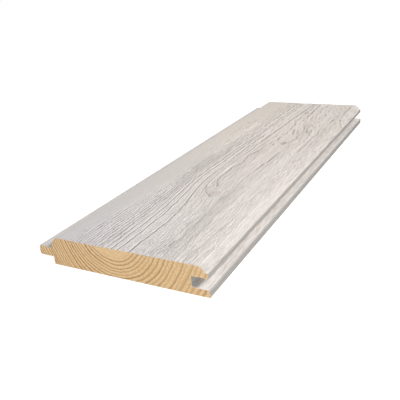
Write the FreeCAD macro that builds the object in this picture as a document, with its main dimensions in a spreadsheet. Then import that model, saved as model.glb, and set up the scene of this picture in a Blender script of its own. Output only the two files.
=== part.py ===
"""Tongue and groove cladding board, 23 x 145 mm, moulded from one length of softwood.

The board lies on its back, with both ends sawn square. +Y runs along the grain, +X points out of the
groove and -X out of the tongue, and +Z points out of the face. The origin is on the back face, in the
middle of the length and of the overall width. Lengths are in millimetres.
"""

import FreeCAD, Part
import Sketcher
import os

# Driving sizes in millimetres.
SIZES = {
    "board_length": 450.0,  # between the two sawn ends
    "overall_width": 145.0,  # from the tongue's tip to the back lip of the groove
    "board_thickness": 23.0,  # from the back to the face
    "tongue_length": 13.0,  # how far the tongue stands out of its shoulder
    "tongue_thickness": 7.6,  # of the tongue at its root
    "tongue_drop": 9.0,  # from the face down to the tongue's root
    "flank_draft": 0.2,  # what each flank closes in by over the tongue's length
    "tip_bevel_run": 1.0,  # lead-in under the tongue's tip, across the board
    "tip_bevel_rise": 1.8,  # the same lead-in, up the tip
    "tip_clearance": 0.4,  # between a tongue's tip and the bottom of the groove
    "cheek_clearance_above": 0.2,  # between a tongue and the cheek on the face side
    "cheek_clearance_below": 0.8,  # between a tongue and the cheek on the back side
    "face_lip_setback": 0.6,  # how far the face lip ends short of the back lip
    "lip_bevel_run": 0.7,  # lead-in on the back lip, across the board
    "lip_bevel_rise": 0.8,  # the same lead-in, down the back lip
    "vee_depth": 5.5,  # of the two bevels that meet as a V in a joint
    "vee_width_tongue_side": 4.5,  # of the bevel over the tongue
    "vee_width_groove_side": 6.2,  # of the bevel over the groove
    "arris_radius": 1.5,  # of the brushed arris between the face and each bevel
}

NODE = "board"


def add_sheet(doc):
    """The spreadsheet that holds the driving sizes, one aliased cell each."""
    sheet = doc.addObject("Spreadsheet::Sheet", "Sizes")
    for row, (alias, millimetres) in enumerate(SIZES.items(), start=1):
        sheet.set(f"A{row}", str(millimetres))
        sheet.setAlias(f"A{row}", alias)
    doc.recompute()
    return sheet


def section_corners(sheet):
    """The corners of the moulded section as (x, z), counterclockwise as seen from the front end."""
    back_lip = sheet.overall_width / 2
    face_lip = back_lip - sheet.face_lip_setback
    tip = back_lip - sheet.overall_width
    shoulder = tip + sheet.tongue_length
    groove_depth = sheet.tongue_length + sheet.tip_clearance
    groove_bottom = back_lip - groove_depth

    face = sheet.board_thickness
    vee_foot = face - sheet.vee_depth
    root_top = face - sheet.tongue_drop
    root_bottom = root_top - sheet.tongue_thickness
    mouth_top = root_top + sheet.cheek_clearance_above
    mouth_bottom = root_bottom - sheet.cheek_clearance_below

    slope = sheet.flank_draft / sheet.tongue_length
    tip_bevel_z = root_bottom + sheet.flank_draft - slope * sheet.tip_bevel_run
    lip_bevel_z = mouth_bottom + slope * sheet.lip_bevel_run

    return {
        "back_left": (shoulder, 0.0),
        "back_right": (back_lip, 0.0),
        "back_lip_nose": (back_lip, lip_bevel_z - sheet.lip_bevel_rise),
        "back_lip_bevel": (back_lip - sheet.lip_bevel_run, lip_bevel_z),
        "groove_low": (groove_bottom, mouth_bottom + slope * groove_depth),
        "groove_high": (groove_bottom, mouth_top - slope * groove_depth),
        "face_lip_under": (face_lip, mouth_top),
        "face_lip_nose": (face_lip, vee_foot),
        "face_right": (face_lip - sheet.vee_width_groove_side, face),
        "face_left": (shoulder + sheet.vee_width_tongue_side, face),
        "shoulder_nose": (shoulder, vee_foot),
        "root_top": (shoulder, root_top),
        "tip_top": (tip, root_top - sheet.flank_draft),
        "tip_nose": (tip, root_bottom + sheet.flank_draft + sheet.tip_bevel_rise),
        "tip_bevel": (tip + sheet.tip_bevel_run, tip_bevel_z),
        "root_bottom": (shoulder, root_bottom),
    }


class SectionOutline:
    """A closed outline of straight edges in a sketch, whose corners are spoken of by name."""

    def __init__(self, sketch, corners):
        self.sketch = sketch
        self.corners = corners
        self.names = list(corners)
        points = [FreeCAD.Vector(x, z, 0) for x, z in corners.values()]
        for start, end in zip(points, points[1:] + points[:1]):
            sketch.addGeometry(Part.LineSegment(start, end), False)
        for edge in range(len(points)):
            self.add("Coincident", edge, 2, (edge + 1) % len(points), 1)

    def add(self, kind, *values):
        """Adds one constraint and returns its number."""
        return self.sketch.addConstraint(Sketcher.Constraint(kind, *values))

    def at(self, corner):
        """A corner as a constraint reads it: the edge that starts there, and that edge's start."""
        return self.names.index(corner), 1

    def level(self, corner):
        """The edge that starts at the corner is parallel to the face."""
        self.add("Horizontal", self.names.index(corner))

    def upright(self, corner):
        """The edge that starts at the corner is square to the face."""
        self.add("Vertical", self.names.index(corner))

    def bind(self, number, label, formula):
        """Names a distance and ties it to the spreadsheet."""
        self.sketch.renameConstraint(number, label)
        self.sketch.setExpression(f"Constraints.{label}", formula)

    def across(self, label, left, right, formula):
        """How far one corner lies to the right of another."""
        run = self.corners[right][0] - self.corners[left][0]
        self.bind(self.add("DistanceX", *self.at(left), *self.at(right), run), label, formula)

    def rise(self, label, low, high, formula):
        """How far one corner lies above another."""
        height = self.corners[high][1] - self.corners[low][1]
        self.bind(self.add("DistanceY", *self.at(low), *self.at(high), height), label, formula)

    def stand_on_origin(self, base, width_end, formula):
        """The base lies on the X axis, and the end of the width lies a stated way from the origin."""
        x_axis = -1
        origin = (x_axis, 1)
        self.add("PointOnObject", *self.at(base), x_axis)
        half = self.add("DistanceX", *origin, *self.at(width_end), self.corners[width_end][0])
        self.bind(half, "half_width", formula)


def constrain_section(outline):
    """Ties every corner of the section to the driving sizes."""
    for corner in ("back_left", "face_right"):
        outline.level(corner)
    for corner in ("back_right", "groove_low", "face_lip_under", "shoulder_nose", "tip_top", "root_bottom"):
        outline.upright(corner)
    outline.stand_on_origin("back_left", "back_right", "Sizes.overall_width / 2")

    outline.across("overall_width", "tip_top", "back_right", "Sizes.overall_width")
    outline.rise("thickness", "back_right", "face_right", "Sizes.board_thickness")

    outline.across("vee_width_right", "face_right", "face_lip_nose", "Sizes.vee_width_groove_side")
    outline.across("vee_width_left", "shoulder_nose", "face_left", "Sizes.vee_width_tongue_side")
    outline.rise("vee_depth_right", "face_lip_nose", "face_right", "Sizes.vee_depth")
    outline.rise("vee_depth_left", "shoulder_nose", "face_left", "Sizes.vee_depth")

    # The tongue, with flanks that close in by the draft over its whole length.
    slope = "(Sizes.flank_draft / Sizes.tongue_length)"
    outline.across("tongue_length", "tip_top", "root_top", "Sizes.tongue_length")
    outline.across("shoulder_width", "tip_top", "root_bottom", "Sizes.tongue_length")
    outline.rise("tongue_drop", "root_top", "face_left", "Sizes.tongue_drop")
    outline.rise("tongue_thickness", "root_bottom", "root_top", "Sizes.tongue_thickness")
    outline.rise("upper_flank", "tip_top", "root_top", "Sizes.flank_draft")
    lower_flank = f"Sizes.flank_draft - {slope} * Sizes.tip_bevel_run"
    outline.rise("lower_flank", "root_bottom", "tip_bevel", lower_flank)
    outline.across("tip_bevel_run", "tip_nose", "tip_bevel", "Sizes.tip_bevel_run")
    outline.rise("tip_nose_height", "root_bottom", "tip_nose", "Sizes.flank_draft + Sizes.tip_bevel_rise")

    # The groove, which takes the tongue of the next board and whose cheeks run along its flanks.
    depth = "(Sizes.tongue_length + Sizes.tip_clearance)"
    outline.across("groove_depth", "groove_low", "back_lip_nose", depth)
    outline.across("face_lip_setback", "face_lip_under", "back_lip_nose", "Sizes.face_lip_setback")
    outline.rise("clearance_above", "root_top", "face_lip_under", "Sizes.cheek_clearance_above")
    clearance_inside = f"Sizes.cheek_clearance_below - {slope} * {depth}"
    outline.rise("clearance_below", "groove_low", "root_bottom", clearance_inside)
    outline.rise("upper_cheek", "groove_high", "face_lip_under", f"{slope} * {depth}")
    outline.rise("lower_cheek", "back_lip_bevel", "groove_low", f"{slope} * ({depth} - Sizes.lip_bevel_run)")
    outline.across("lip_bevel_run", "back_lip_bevel", "back_lip_nose", "Sizes.lip_bevel_run")
    outline.rise("lip_bevel_rise", "back_lip_nose", "back_lip_bevel", "Sizes.lip_bevel_rise")


def face_arrises(shape, thickness):
    """The names of the long edges where the face meets its two bevels."""
    tolerance = 1e-4
    names = []
    for number, edge in enumerate(shape.Edges, start=1):
        first, last = edge.Vertexes[0].Point, edge.Vertexes[-1].Point
        on_face = abs(first.z - thickness) < tolerance and abs(last.z - thickness) < tolerance
        lengthwise = abs(first.x - last.x) < tolerance
        if on_face and lengthwise:
            names.append(f"Edge{number}")
    return names


def add_board(doc, sheet):
    """The board: its section run along the grain, then the two arrises of the face eased."""
    body = doc.addObject("PartDesign::Body", "Board")
    body.Label = NODE

    section = body.newObject("Sketcher::SketchObject", "MouldedSection")
    front_plane = next(f for f in body.Origin.OriginFeatures if f.Role == "XZ_Plane")
    section.AttachmentSupport = [(front_plane, "")]
    section.MapMode = "FlatFace"
    constrain_section(SectionOutline(section, section_corners(sheet)))

    run = body.newObject("PartDesign::Pad", "MouldedLength")
    run.Profile = section
    run.Midplane = True
    run.setExpression("Length", "Sizes.board_length")
    doc.recompute()

    easing = body.newObject("PartDesign::Fillet", "BrushedArrises")
    easing.Base = (run, face_arrises(run.Shape, sheet.board_thickness))
    easing.setExpression("Radius", "Sizes.arris_radius")
    doc.recompute()
    return body, section


def check(doc, body, section):
    """Stops the build unless the section is fully bound and the board is one closed valid solid."""
    for item in doc.Objects:
        if "Invalid" in item.State or "Error" in item.State:
            raise RuntimeError(f"{item.Label} failed: {item.getStatusString()}")
    if not section.FullyConstrained:
        raise RuntimeError("the moulded section is not fully constrained")
    shape = body.Shape
    if shape.isNull() or not shape.isValid() or len(shape.Solids) != 1:
        raise RuntimeError(f"{body.Label} is not one valid solid")


def write_part(body):
    """Writes the solid to parts/, named by its label."""
    os.makedirs("parts", exist_ok=True)
    body.Shape.exportStep(os.path.join("parts", body.Label + ".step"))
    box = body.Shape.BoundBox
    volume_cm3 = body.Shape.Volume / 1000
    print(f"{body.Label}: {box.XLength:.2f} x {box.YLength:.2f} x {box.ZLength:.2f} mm, {volume_cm3:.1f} cm3")


def main():
    doc = FreeCAD.newDocument("TongueAndGrooveBoard")
    sheet = add_sheet(doc)
    board, section = add_board(doc, sheet)
    check(doc, board, section)
    write_part(board)


main()
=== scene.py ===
"""The looks of a tongue and groove cladding board of brushed and factory-painted pine, 23 x 145 mm.

The board lies on its back on a pale floor, in the CAD model's frame: +Y along the grain, +X out of the
groove, +Z out of the painted face. Lengths are in metres, and in millimetres where a name ends in _mm.
Along the board, -225 mm is the near sawn end and 225 mm the far one.
"""

import math

import bpy
import numpy as np
from mathutils import Matrix, Vector


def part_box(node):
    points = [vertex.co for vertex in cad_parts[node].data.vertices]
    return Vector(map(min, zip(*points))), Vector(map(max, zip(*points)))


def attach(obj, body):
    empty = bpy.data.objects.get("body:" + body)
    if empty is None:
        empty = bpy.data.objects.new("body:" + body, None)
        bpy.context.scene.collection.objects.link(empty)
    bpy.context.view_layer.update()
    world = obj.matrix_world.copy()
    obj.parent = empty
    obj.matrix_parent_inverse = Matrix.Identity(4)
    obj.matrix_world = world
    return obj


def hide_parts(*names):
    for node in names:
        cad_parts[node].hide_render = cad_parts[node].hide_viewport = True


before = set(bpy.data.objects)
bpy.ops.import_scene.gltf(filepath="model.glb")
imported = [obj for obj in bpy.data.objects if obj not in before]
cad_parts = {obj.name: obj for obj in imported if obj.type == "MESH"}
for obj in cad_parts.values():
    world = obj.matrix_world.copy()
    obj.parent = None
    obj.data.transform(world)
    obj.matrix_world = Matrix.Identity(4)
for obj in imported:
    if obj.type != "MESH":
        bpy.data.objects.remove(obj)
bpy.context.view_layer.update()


# The board
# One length of pine, run through a four-sided moulder: tongue, groove, bevels and back come from its
# cutter heads, and both ends from a cross-cut saw. The face was then brushed and the board spray-painted.

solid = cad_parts["board"]
low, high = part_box("board")
board_length = high.y - low.y
face_height = high.z
bevel_depth = 0.0055
bevel_foot = face_height - bevel_depth   # where the face's bevels end and the upright lips begin
tolerance = 1e-6                         # heights and ends that differ by less are the same

# The outline of the moulded section, read from the flat end of the CAD solid, counterclockwise as seen
# from the near end.


def end_outline(mesh, end_y):
    """The corners (x, z) round the solid's flat end at end_y."""
    corners = [(round(v.co.x, 7), round(v.co.z, 7)) for v in mesh.vertices]
    on_end = [abs(v.co.y - end_y) < tolerance for v in mesh.vertices]
    sides = set()
    for face in mesh.polygons:
        if all(on_end[i] for i in face.vertices):
            loop = [corners[i] for i in face.vertices]
            sides.update(zip(loop, loop[1:] + loop[:1]))
    rim = {start: stop for start, stop in sides if (stop, start) not in sides}
    outline = [min(rim, key=lambda corner: (corner[1], corner[0]))]
    while len(outline) < len(rim):
        outline.append(rim[outline[-1]])
    return outline


fine_step = 0.0005              # between columns over the brushed grain, about half a furrow's width
plain_step = 0.0022             # between columns over the smooth strip of the face
moulded_step = 0.006            # between columns over the plain moulded sides
back_step = 0.012               # between columns over the flat back
row_step = 0.0013               # between rows along the grain
plain_side_mm = (-50, -34)      # across the face: columns far apart before the first, close past the second
crisp_turn = math.radians(25)   # a section corner that turns by more stays a crisp edge


def ease(value, start, stop):
    """0 before start, 1 past stop, and a smooth blend between."""
    share = np.clip((value - start) / (stop - start), 0, 1)
    return share * share * (3 - 2 * share)


def spread(start, side, on_top):
    """Shares of a section side at which its columns stand, close together where the grain is fine."""
    samples = np.linspace(0, 1, 400)
    if on_top:
        grain = ease((start.x + side.x * samples) * 1000, *plain_side_mm)
        gap = plain_step + (fine_step - plain_step) * grain
    else:
        on_back = start.y + abs(side.y) < tolerance
        gap = np.full_like(samples, back_step if on_back else moulded_step)
    count = np.concatenate([[0], np.cumsum(side.length / gap[1:] / (len(samples) - 1))])
    steps = max(1, math.ceil(count[-1]))
    return np.interp(np.arange(steps) / steps * count[-1], count, samples)


def section_columns(outline):
    """Points (x, z) round the section, the outward normal at each, and which of them are crisp corners."""
    points, normals, crisp = [], [], []
    count = len(outline)
    sides = [Vector(outline[(i + 1) % count]) - Vector(outline[i]) for i in range(count)]
    outward = [Vector((side.y, -side.x)).normalized() for side in sides]
    for i, side in enumerate(sides):
        start = Vector(outline[i])
        higher = max(start.y, start.y + side.y)
        lower = min(start.y, start.y + side.y)
        faces_up = outward[i].y > 0.5
        on_top = faces_up and lower > bevel_foot - tolerance and higher > bevel_foot
        bend = outward[i - 1].angle(outward[i])
        for share in spread(start, side, on_top):
            points.append(start + side * share)
            normals.append((outward[i - 1] + outward[i]).normalized() if share == 0 else outward[i])
            crisp.append(share == 0 and bend > crisp_turn)
    return np.array(points), np.array(normals), np.array(crisp)


section, section_normals, section_crisp = section_columns(end_outline(solid.data, low.y))
row_count = math.ceil(board_length / row_step) + 1
row_y = np.linspace(low.y, high.y, row_count)

# The figure of the wood on the face. Grain lines run along the board and part round knots. A line's
# number is about where it would lie, in millimetres across the board, with no knot beside it.


def smooth_noise(across, along, seed):
    """Noise from 0 to 1 that has a random value at each whole number and blends smoothly between them."""
    size = 256
    lattice = np.random.default_rng(seed).random((size, size))
    column, row = np.floor(across).astype(int), np.floor(along).astype(int)
    u, v = across - column, along - row
    u, v = u * u * (3 - 2 * u), v * v * (3 - 2 * v)
    this_column, next_column = column % size, (column + 1) % size
    this_row, next_row = row % size, (row + 1) % size
    near = lattice[this_column, this_row] * (1 - u) + lattice[next_column, this_row] * u
    far = lattice[this_column, next_row] * (1 - u) + lattice[next_column, next_row] * u
    return near * (1 - v) + far * v


# Grain lines, listed: a line's number, then the points (along, across) that it runs through from
# the near end to the far one.
guide_lines_mm = {
    -62: [(-225, -62), (225, -62)],
    -28: [(-225, -27.5), (-140, -28), (0, -28), (225, -27)],
    -11: [(-225, -11.5), (-150, -12.5), (-106, -15), (-75, -18), (0, -15), (100, -13), (225, -12)],
    0: [(-225, 10.4), (-175, 11), (-150, 9.4), (-119, 4.4), (-94, -0.6), (-75, -2.5), (-50, -1.5),
        (44, -3), (87, -1.2), (130, 0.6), (225, 3.7)],
    6: [(-225, 17), (-150, 16), (-119, 12), (-100, 6.5), (-89, 4.2), (-75, 3), (-43, 2.1), (-33, 3.2),
        (35, 4.4), (66, 3.7), (100, 6.2), (150, 7.5), (200, 10), (225, 10.4)],
    22: [(-225, 33), (-190, 34.5), (-150, 32.5), (-127, 31), (-75, 31), (-43, 32.3), (4, 35.2),
         (40, 38), (75, 36), (110, 30), (156, 22), (225, 19.5)],
    40: [(-225, 46), (-150, 42), (0, 45), (60, 47), (120, 44), (190, 40), (225, 42)],
    75: [(-225, 75), (225, 75)],
}
guide_softness_mm = 5.0   # along the board, over which a guide line's bends are rounded

# Knots and eyes in the face: place (across, along), half its width, half its length, how much of the
# grain's own relief is left in it, and how much it darkens the paint.
knots_mm = [
    (23.5, -109.5, 5.0, 8.0, 0.4, 0.55),
    (20.0, 11.0, 5.5, 11.0, 0.4, 0.42),
    (30.5, 42.0, 4.0, 6.0, 0.3, 1.0),
    (15.0, 173.0, 2.6, 3.8, 0.3, 0.9),
    (-39.0, 112.0, 2.4, 3.6, 0.3, 0.6),
    (-41.0, 45.0, 8.0, 8.5, 0.1, 0.0),
    (40.0, 51.0, 4.0, 5.0, 0.4, 0.3),
    (62.5, -12.5, 4.0, 5.0, 0.4, 0.32),
]


def guide_across(points, along):
    """How far across the board a guide line lies at each place along it, with rounded bends."""
    step = along[1] - along[0]
    reach = int(3 * guide_softness_mm / step)
    offsets = np.arange(-reach, reach + 1) * step
    kernel = np.exp(-0.5 * (offsets / guide_softness_mm) ** 2)
    places = np.array(points, float)
    across = np.interp(along, places[:, 0], places[:, 1])
    return np.convolve(np.pad(across, reach, mode="edge"), kernel / kernel.sum(), mode="valid")


def grain_number(guide_lines, across, along):
    """The number of the grain line at each point of a grid of columns across and rows along."""
    guides = np.array([guide_across(points, along[:, 0]) for points in guide_lines.values()])
    numbers = np.array(list(guide_lines), float)
    number = np.array([np.interp(a, g, numbers) for a, g in zip(across, guides.T)])
    for x, y, half_width, half_length, _, _ in knots_mm:
        row = np.abs(along[:, 0] - y).argmin()
        centre = np.interp(x, guides[:, row], numbers)
        reach = np.hypot((across - x) / half_width, (along - y) / half_length)
        # No line enters the knot, and those pushed aside close up again soon beyond it.
        parting = 1 - np.maximum(reach, 1.0) ** -3.0
        number = centre + (number - centre) * parting
    return number


column_mm = np.broadcast_to(section[:, 0] * 1000, (row_count, len(section)))
row_mm = np.broadcast_to(row_y[:, None] * 1000, (row_count, len(section)))

# The face isn't worn alike all along. Both shares go from 0 at the near end to 1 at the far one: far_share
# changes over the middle of the board, and past_near sooner.
far_share = ease(row_mm, -90, 90)
past_near = ease(row_mm, -110, 20)

# The lines waver in bends about 6 x 9 mm and 2.5 x 4 mm, more at the far end and less towards the groove.
wiggle = smooth_noise(column_mm / 6, row_mm / 9, 3) - 0.5
wiggle += 0.5 * (smooth_noise(column_mm / 2.5, row_mm / 4, 4) - 0.5)
wiggle *= (1 + far_share) * (1 - 0.5 * ease(column_mm, 30, 50))
line = grain_number(guide_lines_mm, column_mm + wiggle, row_mm)

# How many grain numbers fit in one millimetre square to the line. On upright sides, where the columns
# stand over each other, the gap between them is kept off zero.
least_gap_mm = 0.05
column_gap_mm = np.gradient(section[:, 0] * 1000)
column_gap_mm[np.abs(column_gap_mm) < least_gap_mm] = least_gap_mm
line_rate = np.hypot(np.gradient(line, axis=1) / column_gap_mm, np.gradient(line, row_step * 1000, axis=0))
line_rate = np.clip(line_rate, 0.15, 3.0)


def groove(number, half_width_mm):
    """1 on the grain line of that number, and less beside it."""
    return np.exp(-0.5 * ((line - number) / line_rate / half_width_mm) ** 2)


# Rings: grain number, how deep the brush wore the soft wood beside it, and from where to
# where along the board.
rings_mm = [
    (40, 0.2, -225, 225),
    (31, 0.25, -225, 225),
    (22, 0.7, 150, 225),
    (22, 0.3, -80, 140),
    (14, 0.35, -40, 225),
    (6, 0.9, -98, 225),
    (3, 0.7, -90, 40),
    (0, 0.9, -225, 60),
    (-4.6, 0.85, -225, 225),
    (-7.4, 0.75, -225, 225),
    (-9.5, 0.6, -225, -60),
    (-12, 0.75, -225, 225),
    (-15.4, 0.75, -225, 150),
    (-18.6, 0.75, -225, 150),
    (-21.5, 0.75, -225, 110),
    (-24, 0.65, -225, 100),
    (-26.6, 0.6, -225, 100),
    (-29, 0.5, -225, 90),
    (-31.5, 0.55, -225, -60),
    (-34, 0.65, -225, -140),
    (-36.5, 0.65, -225, -170),
    (-39.5, 0.6, -225, -190),
]
ring_fade_mm = 12                         # over which a ring begins and ends
ring_half_width = 0.5 + 0.2 * far_share   # of its groove, in millimetres
beside_mm = 2.2                           # half width of the stretch beside a strong ring with few furrows
vee_mm = 1.6                              # half width of the stretch where the paint's bump cuts a fine V

# Each ring is worn unevenly, in stretches about 9 mm and 3 mm long, and at the far end 7 mm ones as well.
worn_mm = np.zeros_like(line)
beside_strong = np.zeros_like(line)
ring_cut = np.zeros_like(line)
for ring, depth, start_y, stop_y in rings_mm:
    same_ring = np.full_like(line, ring)
    stretch = 0.4 + 0.3 * smooth_noise(same_ring, row_mm / 9, 11)
    stretch += 0.55 * smooth_noise(same_ring, row_mm / 3, 12)
    stretch += 0.9 * far_share * (smooth_noise(same_ring, row_mm / 7, 13) - 0.4)
    reach = ease(row_mm, start_y - ring_fade_mm, start_y) * (1 - ease(row_mm, stop_y, stop_y + ring_fade_mm))
    reach *= 1 - 0.15 * far_share
    worn_mm = np.maximum(worn_mm, depth * stretch * reach * groove(ring, ring_half_width))
    beside_strong = np.maximum(beside_strong, ease(depth, 0.7, 0.9) * reach * groove(ring, beside_mm))
    vee_depth = (0.1 + 0.75 * depth) * (1 + 0.6 * past_near)
    ring_cut = np.maximum(ring_cut, vee_depth * stretch * reach * groove(ring, vee_mm))

# The rings counted across the board, whole on a ring and a half midway between two, and how wide apart
# they stand there.
ring_numbers = np.unique([ring for ring, _, _, _ in rings_mm])
ring_count = np.interp(line, ring_numbers, np.arange(len(ring_numbers)))
pitch_mm = np.gradient(ring_numbers)[np.rint(ring_count).astype(int)] / line_rate

# Furrows between the rings: across and along size of one, depth at the near end and at the far end, seed.
# They are shallower among the picked rings, beside a strong one, towards the groove at the far end, and in
# some patches about 14 x 30 mm.
furrows_mm = [
    (1.5, 9.0, 0.12, 0.1, 21),
    (2.0, 6.0, 0.05, 0.75, 51),
    (1.05, 5.0, 0.22, 0.25, 31),
]
ringed = ease(line, -32, -26) * (1 - ease(line, 2, 8)) * (1 - 0.5 * far_share)
patches = (0.7 + 0.6 * smooth_noise(column_mm / 14, row_mm / 30, 41)) * (1 - 0.6 * ringed)
patches *= 1 - 0.6 * beside_strong
patches *= 1 - 0.3 * far_share * ease(column_mm, 15, 35)
for across, along, near_depth, far_depth, seed in furrows_mm:
    depth = near_depth + (far_depth - near_depth) * far_share
    furrow = smooth_noise(line / across, row_mm / along, seed) - 0.36 * far_share
    worn_mm += depth * patches * furrow * (1 - 0.5 * worn_mm)

# Towards the tongue the face is a strip with hardly any grain. Its edge, as points (along, across), is
# ragged by up to 5 mm to each side. Beside the near end the paint's tone changes about where the relief
# begins, and further along the board 12 mm deeper in the grain.
strip_edge_mm = [
    (-225, -50), (-190, -44), (-150, -38), (-90, -32), (-50, -37), (-10, -44), (60, -46), (100, -44),
    (130, -34), (225, -26),
]
strip_edge = np.interp(row_mm[:, 0], *zip(*strip_edge_mm))[:, None]
ragged = 10 * (smooth_noise(row_mm / 6, column_mm / 4, 5) - 0.5)
past_edge_mm = column_mm - strip_edge + ragged
grained = ease(past_edge_mm, -11, 9)
paint_lag_mm = -6 + 12 * ease(row_mm, -110, -30)
past_strip = ease(past_edge_mm - paint_lag_mm, 0, 14)

knot_soak_and_mark_shade = np.zeros_like(line)
for x, y, half_width, half_length, kept, tone in knots_mm:
    reach = np.hypot((column_mm + 1.5 * wiggle - x) / half_width, (row_mm - y) / half_length)
    grained *= 1 - (1 - ease(reach, 0.7, 1.2)) * (1 - kept)
    knot_soak_and_mark_shade = np.maximum(knot_soak_and_mark_shade, tone * (1 - ease(reach, 0.6, 1.3)))

# Wide bands of soft early wood in the middle of the face soak up paint and look a little darker.
soaked = ease(column_mm, -2, 12) * (1 - ease(column_mm, 28, 44))
soaked *= ease(row_mm, -170, -90) * (1 - 0.7 * ease(row_mm, 50, 150))
knot_soak_and_mark_shade = np.maximum(knot_soak_and_mark_shade, 0.2 * soaked)


def mean_around(field, columns, rows):
    """The mean of a field over so many columns and rows to each side."""
    wide = sum(np.roll(field, shift, axis=1) for shift in range(-columns, columns + 1)) / (2 * columns + 1)
    padded = np.pad(wide, ((rows, rows), (0, 0)), mode="edge")
    return sum(padded[shift:shift + len(field)] for shift in range(2 * rows + 1)) / (2 * rows + 1)


# Where it is smooth, the face lies at the mean height of the relief within about 7 mm across and 10 mm
# along. Beside the arris over the groove, on the bevel past it and at the far end, the relief is shallower.
level_columns, level_rows = 14, 8
level_mm = mean_around(worn_mm, level_columns, level_rows)
face_edge_mm = section[section[:, 1] > face_height - tolerance, 0].max() * 1000
calm = 1 - 0.6 * ease(column_mm, face_edge_mm - 5, face_edge_mm - 1)
calm *= 1 - 0.8 * ease(row_mm, 210, 224)
worn_mm = level_mm + (worn_mm - level_mm) * grained * calm

# Single deep grooves and dents: half width, depth, and the points (across, along) they run through.
marks_mm = [
    (0.7, 0.40, [(61.3, 225), (60.6, 170)]),
    (0.7, 0.65, [(63.5, 148), (70.5, 130)]),
    (0.7, 0.45, [(56.0, 168), (55.5, 135)]),
    (0.7, 0.45, [(53.8, 95), (53, 52)]),
    (0.7, 0.65, [(53, 52), (52.5, 20)]),
    (0.9, 0.90, [(35.2, 4), (34.6, -20)]),
    (0.9, 0.85, [(32.6, -27), (32.3, -43)]),
    (0.9, 0.85, [(20, 225), (20.3, 190), (21.2, 157)]),
    (0.9, 0.85, [(10.4, 225), (8.6, 188), (7.5, 150), (6.7, 112), (5.7, 87), (4.3, 62), (4.3, 32)]),
    (0.7, 0.60, [(27.5, 158), (29.5, 142)]),
    (0.7, 0.60, [(38.5, 178), (41.5, 163)]),
    (0.7, 0.60, [(43.5, 99), (46, 90)]),
    (0.7, 0.55, [(14, 132), (19, 112)]),
    (0.7, 0.55, [(31, 112), (35, 95)]),
    (0.7, 0.45, [(35.3, -187), (34, -195)]),
    (0.8, 0.80, [(32.2, -199), (32.8, -207)]),
    (0.6, 0.30, [(41, -128), (40.7, -148)]),
    (0.8, 0.85, [(23.5, 97), (26, 87), (28.5, 76)]),
    (0.9, 0.85, [(18.5, 64), (18.3, 56)]),
    (0.6, 0.45, [(56, -160), (52.5, -224)]),
    (0.6, 0.70, [(20.1, -116.1), (16.9, -113.5), (12.4, -108.7), (9.2, -103.3), (7.5, -98.7), (5.4, -93)]),
    (0.7, 0.80, [(15.6, -92.3), (12.4, -86.5), (10.3, -81.7), (8.1, -75.5), (7.5, -68.5), (7.9, -60.3)]),
    (0.8, 0.85, [(7.9, -60.3), (8.4, -52), (7.6, -43), (10, -36), (11.9, -27.4), (8.7, -7), (12.5, 12)]),
]


def from_line_mm(points):
    """How far each point of the face is from a line through the given points."""
    away = np.full_like(line, np.inf)
    for start, stop in zip(points, points[1:]):
        run_x, run_y = stop[0] - start[0], stop[1] - start[1]
        dx, dy = column_mm - start[0], row_mm - start[1]
        share = np.clip((dx * run_x + dy * run_y) / (run_x ** 2 + run_y ** 2), 0, 1)
        away = np.minimum(away, np.hypot(dx - share * run_x, dy - share * run_y))
    return away


for half_width, depth, points in marks_mm:
    mark = np.exp(-0.5 * ((from_line_mm(points) + 0.6 * wiggle) / half_width) ** 2)
    mark *= 1 - 0.6 * ease(row_mm, 200, 222)
    worn_mm += (depth - worn_mm) * mark
    # Along each mark the paint is darker as well: painted shade in its groove.
    knot_soak_and_mark_shade = np.maximum(knot_soak_and_mark_shade, 0.2 * mark)

# The relief only cuts down into sides that face up, and dies out just above the foot of each bevel.
deepest_mm = 0.9
nose_height = 0.0006
facing_up = 0.4
clear_of_nose = ease(section[:, 1], bevel_foot, bevel_foot + nose_height)
brushed = clear_of_nose * (section_normals[:, 1] > facing_up)
worn_mm = np.clip(worn_mm, 0, deepest_mm)
brushed_depth = worn_mm * brushed / 1000

# How far each point lies in a hollow, below the mean of the columns within 3 mm of it.
hollow_columns = 6
hollow_mm = np.clip(worn_mm - mean_around(worn_mm, hollow_columns, 0), 0, deepest_mm)


def sweep(name):
    """The closed mesh of the section run along the grain, its face worn down by the brushed relief."""
    x = section[:, 0] - section_normals[:, 0] * brushed_depth
    z = section[:, 1] - section_normals[:, 1] * brushed_depth
    y = np.broadcast_to(row_y[:, None], x.shape)
    columns = len(section)
    corner = np.arange(row_count * columns).reshape(row_count, columns)
    after = np.roll(corner, -1, axis=1)
    quads = np.stack([corner[:-1], after[:-1], after[1:], corner[1:]], axis=-1).reshape(-1, 4)
    ends = [corner[0][::-1].tolist(), corner[-1].tolist()]
    mesh = bpy.data.meshes.new(name)
    mesh.from_pydata(np.stack([x, y, z], axis=-1).reshape(-1, 3), [], quads.tolist() + ends)
    return mesh


board_mesh = sweep("painted_board")
board = bpy.data.objects.new("painted_board", board_mesh)
bpy.context.scene.collection.objects.link(board)

# What the paint is told at each point: how deep a hollow it lies in, whose grey is partly painted shade, how
# much a knot, a soaked band or a deep mark darkens it, the mark's darkening being painted shade, its grain
# number, the count of rings and how wide apart they are, how strongly a fine V is cut there, how far past
# the smooth strip it is, and how much its fibres stand out. Away from the near end, hollows towards the
# tongue tint the paint less.
faint = 1 - 0.9 * ease(line, -8, -24) * ease(row_mm, -190, -110)
least_fibres = 0.12
point_values = {
    "hollow": hollow_mm * faint * (1 + 0.5 * far_share) * grained * brushed,
    "knot": knot_soak_and_mark_shade * brushed,
    "line": line,
    "turn": ring_count,
    "pitch": pitch_mm * (1 - 0.4 * past_near),
    "cut": ring_cut * grained * calm * brushed,
    "past_strip": past_strip,
    "fibres": np.maximum(grained * (0.35 + 0.65 * ease(line, -34, -14)), least_fibres) * brushed,
}
for name, values in point_values.items():
    board_mesh.attributes.new(name, "FLOAT", "POINT").data.foreach_set("value", values.ravel())

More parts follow.
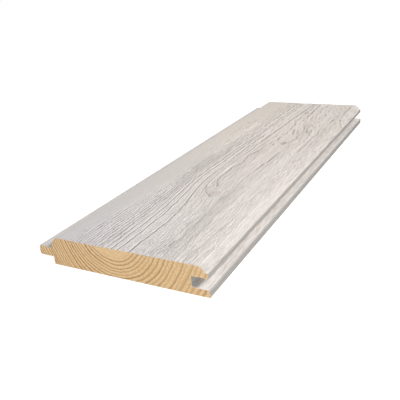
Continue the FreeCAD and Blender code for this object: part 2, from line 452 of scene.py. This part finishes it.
# Crisp edges: along every moulded corner and round both sawn ends.
edge_ends = np.zeros(len(board_mesh.edges) * 2, int)
board_mesh.edges.foreach_get("vertices", edge_ends)
edge_row, edge_column = np.divmod(edge_ends.reshape(-1, 2), len(section))
along_corner = (edge_column[:, 0] == edge_column[:, 1]) & section_crisp[edge_column[:, 0]]
round_end = (edge_row[:, 0] == edge_row[:, 1]) & np.isin(edge_row[:, 0], (0, row_count - 1))
sharp = board_mesh.attributes.new("sharp_edge", "BOOLEAN", "EDGE")
sharp.data.foreach_set("value", along_corner | round_end)

# Which finish each side of the section has: brushed paint on the face and its bevels, sprayed paint on the
# tongue, groove and lips, bare planed wood on the back. The two ends are bare sawn wood.
on_face, on_mouldings, on_back, on_ends = range(4)
next_height = np.roll(section[:, 1], -1)
side_foot = np.minimum(section[:, 1], next_height)
side_top = np.maximum(section[:, 1], next_height)
is_face = (side_foot > bevel_foot - tolerance) & (side_top > bevel_foot + 10 * tolerance)
is_back = side_top < tolerance
side_finish = np.where(is_face, on_face, np.where(is_back, on_back, on_mouldings))
finishes = np.concatenate([np.tile(side_finish, row_count - 1), [on_ends, on_ends]])
board_mesh.polygons.foreach_set("material_index", finishes)
board_mesh.polygons.foreach_set("use_smooth", finishes != on_ends)
board_mesh.validate()
board_mesh.update()


def linear(hex_colour):
    """A colour written as sRGB hex, turned to the linear values that Blender's sockets take."""
    levels = [int(hex_colour[i:i + 2], 16) / 255 for i in (1, 3, 5)]
    return [c / 12.92 if c <= 0.04045 else ((c + 0.055) / 1.055) ** 2.4 for c in levels] + [1.0]


def add(tree, kind, inputs=None, **settings):
    """Adds a node, sets its options, and fills its inputs with values or with links from other nodes."""
    made = tree.nodes.new(kind)
    for name, value in settings.items():
        setattr(made, name, value)
    for name, value in (inputs or {}).items():
        if isinstance(value, bpy.types.NodeSocket):
            tree.links.new(value, made.inputs[name])
        else:
            made.inputs[name].default_value = value
    return made


# A colour mix node's sockets: its colour at factor 0, its colour at factor 1, and the mixed colour.
under, over, mixed = 6, 7, 2


def new_material(name):
    """A material with an empty node tree, and that tree."""
    material = bpy.data.materials.new(name)
    material.use_nodes = True
    material.node_tree.nodes.clear()
    return material, material.node_tree


def per_metre(size_mm):
    """How many cells of a pattern, each of a size in millimetres, fit in one metre."""
    return 1000 / size_mm


# Brushed acrylic paint: a satin film that follows the worn grain, so that the eye sees soft white ridges,
# and grooves where the film thins and turns greyer, the grey partly painted shade.
brushed_paint, tree = new_material("brushed_acrylic_paint")
place = add(tree, "ShaderNodeTexCoord").outputs["Object"]
spot = add(tree, "ShaderNodeSeparateXYZ", {"Vector": place})
told = {name: add(tree, "ShaderNodeAttribute", attribute_name=name).outputs["Fac"] for name in point_values}
with_grain = add(tree, "ShaderNodeCombineXYZ", {"X": told["line"], "Y": spot.outputs["Y"]})

# Relief finer than the mesh. The spray's stipple is about 0.3 mm wide, a raised fibre 0.1 mm and a scratch
# of the wire brush 0.3 mm. All are too fine to show, so they are drawn as coarse as these sizes.
stipple_mm = 1.25
fibre_mm = (0.909, 11.1)     # across and along
scratch_mm = (1.43, 29.4)
stipple = add(tree, "ShaderNodeTexNoise", {"Vector": place, "Scale": per_metre(stipple_mm), "Detail": 2.0})
combed = add(tree, "ShaderNodeMapping", {"Vector": with_grain.outputs[0],
                                         "Scale": (1 / fibre_mm[0], per_metre(fibre_mm[1]), 1.0)})
raised = add(tree, "ShaderNodeTexNoise", {"Vector": combed.outputs[0], "Scale": 1.0, "Detail": 2.0},
             noise_dimensions="2D")
raised = add(tree, "ShaderNodeMapRange", {"Value": raised.outputs["Fac"], "To Max": 0.4})
rough = add(tree, "ShaderNodeMath", {0: stipple.outputs["Fac"], 1: 0.5, 2: raised.outputs[0]},
            operation="MULTIPLY_ADD")

# A scratch is a thin line where its noise passes through the middle value. Scratches come in patches.
drawn = add(tree, "ShaderNodeMapping", {"Vector": with_grain.outputs[0],
                                        "Scale": (1 / scratch_mm[0], per_metre(scratch_mm[1]), 1.0)})
scratches = add(tree, "ShaderNodeTexNoise", {"Vector": drawn.outputs[0], "Scale": 1.0, "Detail": 2.0},
                noise_dimensions="2D")
apart = add(tree, "ShaderNodeMath", {0: scratches.outputs["Fac"], 1: 0.5}, operation="SUBTRACT")
apart = add(tree, "ShaderNodeMath", {0: apart.outputs[0]}, operation="ABSOLUTE")
scratch = add(tree, "ShaderNodeMapRange", {"Value": apart.outputs[0], "From Max": 0.12, "To Max": 0.3},
              interpolation_type="SMOOTHSTEP")
cloud_mm = (18.18, 227.3)    # across and along, of the patches and of the coat's faint clouds
streaked = add(tree, "ShaderNodeMapping", {
    "Vector": place,
    "Scale": (per_metre(cloud_mm[0]), per_metre(cloud_mm[1]), per_metre(cloud_mm[0])),
})
cloud = add(tree, "ShaderNodeTexNoise", {"Vector": streaked.outputs[0], "Scale": 1.0, "Detail": 3.0})
patch = add(tree, "ShaderNodeMapRange", {"Value": cloud.outputs["Fac"], "From Min": 0.4, "From Max": 0.6,
                                         "To Min": 0.5})
rough = add(tree, "ShaderNodeMath", {0: scratch.outputs[0], 1: patch.outputs[0], 2: rough.outputs[0]},
            operation="MULTIPLY_ADD")

# The roughness is as strong as the fibres there, and weaker where a ring's fine V is cut.
beside = add(tree, "ShaderNodeMapRange", {"Value": told["cut"], "To Min": 1.0, "To Max": 0.3})
rough = add(tree, "ShaderNodeMath", {0: rough.outputs[0], 1: told["fibres"]}, operation="MULTIPLY")
rough = add(tree, "ShaderNodeMath", {0: rough.outputs[0], 1: beside.outputs[0]}, operation="MULTIPLY")

# The fine V: how far the point is from the nearest ring, in millimetres, made ragged by the stipple.
from_ring = add(tree, "ShaderNodeMath", {0: told["turn"], 1: 0.5}, operation="PINGPONG")
from_ring = add(tree, "ShaderNodeMath", {0: from_ring.outputs[0], 1: told["pitch"]}, operation="MULTIPLY")
from_ring = add(tree, "ShaderNodeMath", {0: stipple.outputs["Fac"], 1: 0.8, 2: from_ring.outputs[0]},
                operation="MULTIPLY_ADD")
vee = add(tree, "ShaderNodeMapRange", {"Value": from_ring.outputs[0], "From Min": 0.3, "From Max": 0.85,
                                       "To Min": -0.5, "To Max": 0.0})
relief = add(tree, "ShaderNodeMath", {0: vee.outputs[0], 1: told["cut"], 2: rough.outputs[0]},
             operation="MULTIPLY_ADD")
bump = add(tree, "ShaderNodeBump", {"Height": relief.outputs[0], "Strength": 1.0, "Distance": 0.0017})

# The coat is white with faint clouds, and greyer towards the near end of the tongue side: painted shade.
tongue_side = add(tree, "ShaderNodeMapRange", {"Value": spot.outputs["X"], "From Min": 0.06,
                                               "From Max": -0.055, "To Min": 0.3})
near_end = add(tree, "ShaderNodeMapRange", {"Value": spot.outputs["Y"], "From Min": 0.08, "From Max": -0.22})
corner = add(tree, "ShaderNodeMath", {0: tongue_side.outputs[0], 1: near_end.outputs[0]},
             operation="MULTIPLY")
white_coat = linear("#e3ddd7")
clouded_coat = linear("#d7d0ca")
near_shade_coat = linear("#c0bdc0")
coat = add(tree, "ShaderNodeMix", {"Factor": cloud.outputs["Fac"], under: white_coat, over: clouded_coat},
           data_type="RGBA")
coat = add(tree, "ShaderNodeMix", {"Factor": corner.outputs[0], under: coat.outputs[mixed], over: near_shade_coat},
           data_type="RGBA")

# The smooth strip beside the tongue is painted a darker tone of its own, greyer towards the near end:
# painted shade.
strip_far = linear("#d0c9c1")
strip_near_shade = linear("#bbb9b9")
strip = add(tree, "ShaderNodeMix", {"Factor": near_end.outputs[0], under: strip_far, over: strip_near_shade},
            data_type="RGBA")
coat = add(tree, "ShaderNodeMix", {"Factor": told["past_strip"], under: strip.outputs[mixed],
                                   over: coat.outputs[mixed]}, data_type="RGBA")

# Down in the hollows the film thins and greys, partly as painted shade; it lets a knot shine through, and
# sloping sides, the bevels most, are painted greyer: painted shade.
thin_paint_and_shade = linear("#857f7a")
knot_colour = linear("#94887a")
bevel_painted_shade = linear("#a5a2a0")
thinned_and_shaded = add(tree, "ShaderNodeMapRange", {"Value": told["hollow"], "From Min": 0.04, "From Max": 0.4,
                                        "To Max": 0.6})
valley = add(tree, "ShaderNodeMix", {"Factor": thinned_and_shaded.outputs[0], under: coat.outputs[mixed],
                                     over: thin_paint_and_shade}, data_type="RGBA")
shade = add(tree, "ShaderNodeMapRange", {"Value": told["knot"], "To Max": 0.8})
film = add(tree, "ShaderNodeMix", {"Factor": shade.outputs[0], under: valley.outputs[mixed],
                                   over: knot_colour}, data_type="RGBA")
facing = add(tree, "ShaderNodeSeparateXYZ", {0: add(tree, "ShaderNodeNewGeometry").outputs["Normal"]})
slope_shade = add(tree, "ShaderNodeMapRange", {"Value": facing.outputs["Z"], "From Min": 0.85, "From Max": 0.65,
                                        "To Max": 0.7})
sloping = add(tree, "ShaderNodeMix", {"Factor": slope_shade.outputs[0], under: film.outputs[mixed],
                                      over: bevel_painted_shade}, data_type="RGBA")
skin = add(tree, "ShaderNodeBsdfPrincipled", {"Base Color": sloping.outputs[mixed], "Roughness": 0.62,
                                              "Normal": bump.outputs[0]})
add(tree, "ShaderNodeOutputMaterial", {"Surface": skin.outputs[0]})

# The same acrylic paint over smooth moulded sides: a full white coat on sides that face up, and upright
# sides painted greyer: painted shade.
sprayed_paint, tree = new_material("sprayed_acrylic_paint")
place = add(tree, "ShaderNodeTexCoord").outputs["Object"]
spot = add(tree, "ShaderNodeSeparateXYZ", {"Vector": place})

# Streaks that the cutter heads left along the wood. Really 0.3 mm wide, they are drawn coarser to show.
streak_mm = (1.538, 10.99)   # across and along
drawn = add(tree, "ShaderNodeMapping", {
    "Vector": place,
    "Scale": (per_metre(streak_mm[0]), per_metre(streak_mm[1]), per_metre(streak_mm[0])),
})
streaks = add(tree, "ShaderNodeTexNoise", {"Vector": drawn.outputs[0], "Scale": 1.0, "Detail": 3.0})

# On sides that face up, the paint is lighter towards the groove, painted light in its shade, and darker on
# the tongue: painted shade.
tongue_painted_shade = linear("#c9c5c3")
lip_painted_light = linear("#e6e1de")
toward_groove = add(tree, "ShaderNodeMapRange", {"Value": spot.outputs["X"], "From Min": -0.06, "From Max": 0.06})
upper = add(tree, "ShaderNodeMix", {"Factor": toward_groove.outputs[0], under: tongue_painted_shade, over: lip_painted_light},
            data_type="RGBA")

# On the lips' upright sides it is painted grey, darkest at the far end: painted shade. The groove's bottom
# has the full white coat against the shade that falls there: painted light; the sides round the tongue have
# the full coat too.
near_upright_shade = linear("#9f9c9a")
far_upright_shade = linear("#918e8c")
full_coat_lit_in_groove = linear("#e2dedb")
farther_along = add(tree, "ShaderNodeMapRange", {"Value": spot.outputs["Y"], "From Min": -0.2, "From Max": 0.2})
edge = add(tree, "ShaderNodeMix", {"Factor": farther_along.outputs[0], under: near_upright_shade,
                                   over: far_upright_shade}, data_type="RGBA")
full_coat_share = add(tree, "ShaderNodeMapRange", {"Value": spot.outputs["X"], "From Min": 0.0605,
                                            "From Max": 0.0595})
upright = add(tree, "ShaderNodeMix", {"Factor": full_coat_share.outputs[0], under: edge.outputs[mixed],
                                      over: full_coat_lit_in_groove}, data_type="RGBA")
facing = add(tree, "ShaderNodeSeparateXYZ", {0: add(tree, "ShaderNodeNewGeometry").outputs["Normal"]})
up_share = add(tree, "ShaderNodeMapRange", {"Value": facing.outputs["Z"], "From Min": 0.68, "From Max": 0.95})
coat = add(tree, "ShaderNodeMix", {"Factor": up_share.outputs[0], under: upright.outputs[mixed],
                                   over: upper.outputs[mixed]}, data_type="RGBA")
streak_colour = linear("#a9a5a1")
streak = add(tree, "ShaderNodeMapRange", {"Value": streaks.outputs["Fac"], "From Min": 0.35,
                                          "From Max": 0.75, "To Max": 0.5})
film = add(tree, "ShaderNodeMix", {"Factor": streak.outputs[0], under: coat.outputs[mixed],
                                   over: streak_colour}, data_type="RGBA")
bump = add(tree, "ShaderNodeBump", {"Height": streaks.outputs["Fac"], "Strength": 0.8, "Distance": 0.0009})
skin = add(tree, "ShaderNodeBsdfPrincipled", {"Base Color": film.outputs[mixed], "Roughness": 0.5,
                                              "Normal": bump.outputs[0]})
add(tree, "ShaderNodeOutputMaterial", {"Surface": skin.outputs[0]})

# Bare pine. Its growth rings are cylinders round a pith that ran 13.5 mm above the face, so the ends
# show arcs, and the back shows the long shallow arches of the same rings.
pith = (-0.0035, 0.0, 0.0365)
rings_begin = (0.02, 0.023)       # radius within which no ring shows, and past which they all do
ring_pitch_mm = 2.78              # between rings in the middle of the board
more_rings_to_tongue = -700.0     # more rings in a metre of radius, for each metre across the board
ring_bend_mm = (45.45, 378.8)     # across and along, of the slow bends in the rings
ring_fray_mm = 1.923              # of the fine frays in the rings: really wood cells, drawn coarser to show
ring_uneven_mm = 8.333            # across the rings, over which they stand closer or wider


def growth_rings(tree, place):
    """How dark the late wood of the growth rings makes the pine at a place, from 0 to 1."""
    slow = add(tree, "ShaderNodeMapping", {
        "Vector": place,
        "Scale": (per_metre(ring_bend_mm[0]), per_metre(ring_bend_mm[1]), per_metre(ring_bend_mm[0])),
    })
    drift = add(tree, "ShaderNodeTexNoise", {"Vector": slow.outputs[0], "Scale": 1.0, "Detail": 2.0})
    push = add(tree, "ShaderNodeVectorMath", {0: drift.outputs["Color"], 1: (0.5, 0.5, 0.5)},
               operation="SUBTRACT")
    bent = add(tree, "ShaderNodeVectorMath", {0: push.outputs[0], 1: (0.007, 0.0, 0.007), 2: place},
               operation="MULTIPLY_ADD")
    cells = add(tree, "ShaderNodeTexNoise", {"Vector": place, "Scale": per_metre(ring_fray_mm),
                                             "Detail": 2.0})
    bent = add(tree, "ShaderNodeVectorMath", {0: cells.outputs["Color"], 1: (0.0012, 0.0, 0.0012),
                                              2: bent.outputs[0]}, operation="MULTIPLY_ADD")
    centred = add(tree, "ShaderNodeVectorMath", {0: bent.outputs[0], 1: pith}, operation="SUBTRACT")
    flat = add(tree, "ShaderNodeVectorMath", {0: centred.outputs[0], 1: (1.0, 0.0, 1.0)},
               operation="MULTIPLY")
    radius = add(tree, "ShaderNodeVectorMath", {0: flat.outputs[0]}, operation="LENGTH").outputs["Value"]
    uneven = add(tree, "ShaderNodeTexNoise", {"W": radius, "Scale": per_metre(ring_uneven_mm),
                                              "Detail": 1.0}, noise_dimensions="1D")
    across = add(tree, "ShaderNodeSeparateXYZ", {"Vector": place}).outputs["X"]
    rate = add(tree, "ShaderNodeMath", {0: across, 1: more_rings_to_tongue, 2: per_metre(ring_pitch_mm)},
               operation="MULTIPLY_ADD")
    count = add(tree, "ShaderNodeMath", {0: radius, 1: rate.outputs[0], 2: uneven.outputs["Fac"]},
                operation="MULTIPLY_ADD")

    # In each ring the wood darkens slowly from its middle on, and is pale again soon after its darkest.
    turn = add(tree, "ShaderNodeMath", {0: count.outputs[0]}, operation="FRACT")
    ramp = add(tree, "ShaderNodeValToRGB", {"Fac": turn.outputs[0]})
    ramp.color_ramp.elements[0].position = 0.48
    ramp.color_ramp.elements[1].position = 0.88
    end = ramp.color_ramp.elements.new(1.0)
    end.color = (0.0, 0.0, 0.0, 1.0)

    # Some years' rings are darker than others, and they are darker towards the tongue.
    whole = add(tree, "ShaderNodeMath", {0: count.outputs[0]}, operation="FLOOR")
    luck = add(tree, "ShaderNodeTexWhiteNoise", {"W": whole.outputs[0]}, noise_dimensions="1D")
    weight = add(tree, "ShaderNodeMapRange", {"Value": luck.outputs["Value"], "To Min": 0.45})
    dense = add(tree, "ShaderNodeMapRange", {"Value": across, "From Min": -0.07, "From Max": 0.04,
                                             "To Min": 1.6, "To Max": 0.75})
    weight = add(tree, "ShaderNodeMath", {0: weight.outputs[0], 1: dense.outputs[0]}, operation="MULTIPLY")
    late_wood = add(tree, "ShaderNodeMath", {0: ramp.outputs["Color"], 1: weight.outputs[0]},
                    operation="MULTIPLY", use_clamp=True)
    grown = add(tree, "ShaderNodeMapRange", {"Value": radius, "From Min": rings_begin[0],
                                             "From Max": rings_begin[1]})
    return add(tree, "ShaderNodeMath", {0: late_wood.outputs[0], 1: grown.outputs[0]},
               operation="MULTIPLY").outputs[0]


# End grain: sawn across, so it drinks in light and shows darker and warmer than the planed back. Its resin
# canals are really 0.2 mm wide, and are drawn coarser to show.
end_grain, tree = new_material("sawn_pine_end_grain")
canal_mm = 1.333
stain_mm = 22.22
place = add(tree, "ShaderNodeTexCoord").outputs["Object"]
rings = growth_rings(tree, place)
pores = add(tree, "ShaderNodeTexNoise", {"Vector": place, "Scale": per_metre(canal_mm), "Detail": 3.0})
stain = add(tree, "ShaderNodeTexNoise", {"Vector": place, "Scale": per_metre(stain_mm), "Detail": 2.0})
pale_wood = linear("#f8dab0")
stained_wood = linear("#e9c591")
late_colour = linear("#8c5b27")
canal_colour = linear("#c9a068")
early = add(tree, "ShaderNodeMix", {"Factor": stain.outputs["Fac"], under: pale_wood, over: stained_wood},
            data_type="RGBA")
late = add(tree, "ShaderNodeMix", {"Factor": rings, under: early.outputs[mixed], over: late_colour},
           data_type="RGBA")
speck = add(tree, "ShaderNodeMapRange", {"Value": pores.outputs["Fac"], "From Min": 0.4, "From Max": 0.75,
                                         "To Max": 0.6})
wood = add(tree, "ShaderNodeMix", {"Factor": speck.outputs[0], under: late.outputs[mixed],
                                   over: canal_colour}, data_type="RGBA")
bump = add(tree, "ShaderNodeBump", {"Height": pores.outputs["Fac"], "Strength": 0.4, "Distance": 0.0002})
skin = add(tree, "ShaderNodeBsdfPrincipled", {"Base Color": wood.outputs[mixed], "Roughness": 0.85,
                                              "Normal": bump.outputs[0]})
add(tree, "ShaderNodeOutputMaterial", {"Surface": skin.outputs[0]})

# Planed back: smooth and pale, with its resin canals along the grain. They are really 0.2 mm wide, and are
# drawn coarser to show.
planed_back, tree = new_material("planed_pine_back")
canal_mm = (1.111, 27.78)   # across and along
place = add(tree, "ShaderNodeTexCoord").outputs["Object"]
rings = growth_rings(tree, place)
drawn = add(tree, "ShaderNodeMapping", {
    "Vector": place,
    "Scale": (per_metre(canal_mm[0]), per_metre(canal_mm[1]), per_metre(canal_mm[0])),
})
ducts = add(tree, "ShaderNodeTexNoise", {"Vector": drawn.outputs[0], "Scale": 1.0, "Detail": 3.0})
pale_wood = linear("#e9cc9e")
late_colour = linear("#c99a62")
canal_colour = linear("#d8b07a")
late = add(tree, "ShaderNodeMix", {"Factor": rings, under: pale_wood, over: late_colour}, data_type="RGBA")
strand = add(tree, "ShaderNodeMapRange", {"Value": ducts.outputs["Fac"], "From Min": 0.35, "From Max": 0.8,
                                          "To Max": 0.4})
wood = add(tree, "ShaderNodeMix", {"Factor": strand.outputs[0], under: late.outputs[mixed],
                                   over: canal_colour}, data_type="RGBA")
bump = add(tree, "ShaderNodeBump", {"Height": ducts.outputs["Fac"], "Strength": 0.3, "Distance": 0.00008})
skin = add(tree, "ShaderNodeBsdfPrincipled", {"Base Color": wood.outputs[mixed], "Roughness": 0.6,
                                              "Normal": bump.outputs[0]})
add(tree, "ShaderNodeOutputMaterial", {"Surface": skin.outputs[0]})

for material in (brushed_paint, sprayed_paint, planed_back, end_grain):   # in the order of the finishes
    board_mesh.materials.append(material)

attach(board, "root")
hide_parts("board")


# The studio
# A pale floor under a white sky, a soft box over the groove side, three weak lamps that fill the ends and
# the tongue side, and the camera where the photograph was taken from.

floor_half = 4.0
floor_drop = 0.0001   # how far the floor lies below the board's back, so that the two never share a plane
floor_mesh = bpy.data.meshes.new("floor")
floor_turns = [(-1, -1), (1, -1), (1, 1), (-1, 1)]
floor_points = [(x * floor_half, y * floor_half, low.z - floor_drop) for x, y in floor_turns]
floor_mesh.from_pydata(floor_points, [], [(0, 1, 2, 3)])
floor = bpy.data.objects.new("floor", floor_mesh)
bpy.context.scene.collection.objects.link(floor)

# Matt white floor: it takes the board's shadow, and the camera sees it lifted almost to white.
floor_material, tree = new_material("matt_white_floor")
floor_lift = 0.89
rays = add(tree, "ShaderNodeLightPath")
seen = add(tree, "ShaderNodeMath", {0: rays.outputs["Is Camera Ray"], 1: floor_lift}, operation="MULTIPLY")
matt = add(tree, "ShaderNodeBsdfDiffuse", {"Color": linear("#a2a2a2")})
lift = add(tree, "ShaderNodeEmission", {"Color": linear("#ffffff"), "Strength": seen.outputs[0]})
both = add(tree, "ShaderNodeAddShader", {0: matt.outputs[0], 1: lift.outputs[0]})
add(tree, "ShaderNodeOutputMaterial", {"Surface": both.outputs[0]})
floor_mesh.materials.append(floor_material)

# White sky: full white where it is seen straight or in gloss, and weaker as light on the board.
world = bpy.data.worlds.new("white_sky")
world.use_nodes = True
world.node_tree.nodes.clear()
tree = world.node_tree
rays = add(tree, "ShaderNodeLightPath")
straight = add(tree, "ShaderNodeMath", {0: rays.outputs["Is Camera Ray"], 1: rays.outputs["Is Glossy Ray"]},
               operation="MAXIMUM")
fill = add(tree, "ShaderNodeBackground", {"Color": linear("#ffffff"), "Strength": 0.32})
white = add(tree, "ShaderNodeBackground", {"Color": linear("#ffffff"), "Strength": 1.0})
sky = add(tree, "ShaderNodeMixShader", {0: straight.outputs[0], 1: fill.outputs[0], 2: white.outputs[0]})
add(tree, "ShaderNodeOutputWorld", {"Surface": sky.outputs[0]})
bpy.context.scene.world = world

# Lamps: where each hangs, what it points at, its width in metres, its power in watts and its colour.
lamps = {
    "soft_box_over_groove_side": ((0.8, -0.2, 0.76), (0.0, 0.0, 0.0), 0.3, 12.8, "#fffcf8"),
    "fill_before_sawn_end": ((0.15, -1.3, 0.3), (0.0, -0.2, 0.0), 0.5, 6.2, "#ffffff"),
    "low_fill_beside_tongue": ((-1.2, -0.35, 0.22), (0.0, 0.0, 0.0), 0.5, 2.6, "#ffffff"),
    "low_fill_beyond_far_end": ((0.3, 1.4, 0.2), (0.0, 0.2, 0.0), 0.5, 2.0, "#ffffff"),
}
for name, (place, target, width, power, colour) in lamps.items():
    lamp_data = bpy.data.lights.new(name, "AREA")
    lamp_data.shape = "SQUARE"
    lamp_data.size = width
    lamp_data.energy = power
    lamp_data.color = linear(colour)[:3]
    lamp = bpy.data.objects.new(name, lamp_data)
    bpy.context.scene.collection.objects.link(lamp)
    lamp.location = place
    lamp.rotation_euler = (Vector(target) - Vector(place)).to_track_quat("-Z", "Y").to_euler()

# The camera: how far round from the near end it stands, how far up and how far tilted, then the point that
# it looks at and its distance from it.
camera_azimuth = math.radians(28.856)
camera_elevation = math.radians(22.533)
camera_roll = math.radians(-4.272)
camera_aim = Vector((0.00255, -0.10222, 0.0115))
camera_distance = 0.4838
towards_camera = Vector((
    math.sin(camera_azimuth) * math.cos(camera_elevation),
    -math.cos(camera_azimuth) * math.cos(camera_elevation),
    math.sin(camera_elevation),
))
camera_data = bpy.data.cameras.new("camera")
camera_data.lens = 49.119
camera_data.sensor_width = 36.0
camera_data.clip_start = 0.01
camera = bpy.data.objects.new("camera", camera_data)
bpy.context.scene.collection.objects.link(camera)
camera.location = camera_aim + towards_camera * camera_distance
level_view = (-towards_camera).to_track_quat("-Z", "Y").to_matrix()
camera.rotation_euler = (level_view @ Matrix.Rotation(camera_roll, 3, "Z")).to_euler()
bpy.context.scene.camera = camera

bpy.context.scene.view_settings.view_transform = "Standard"
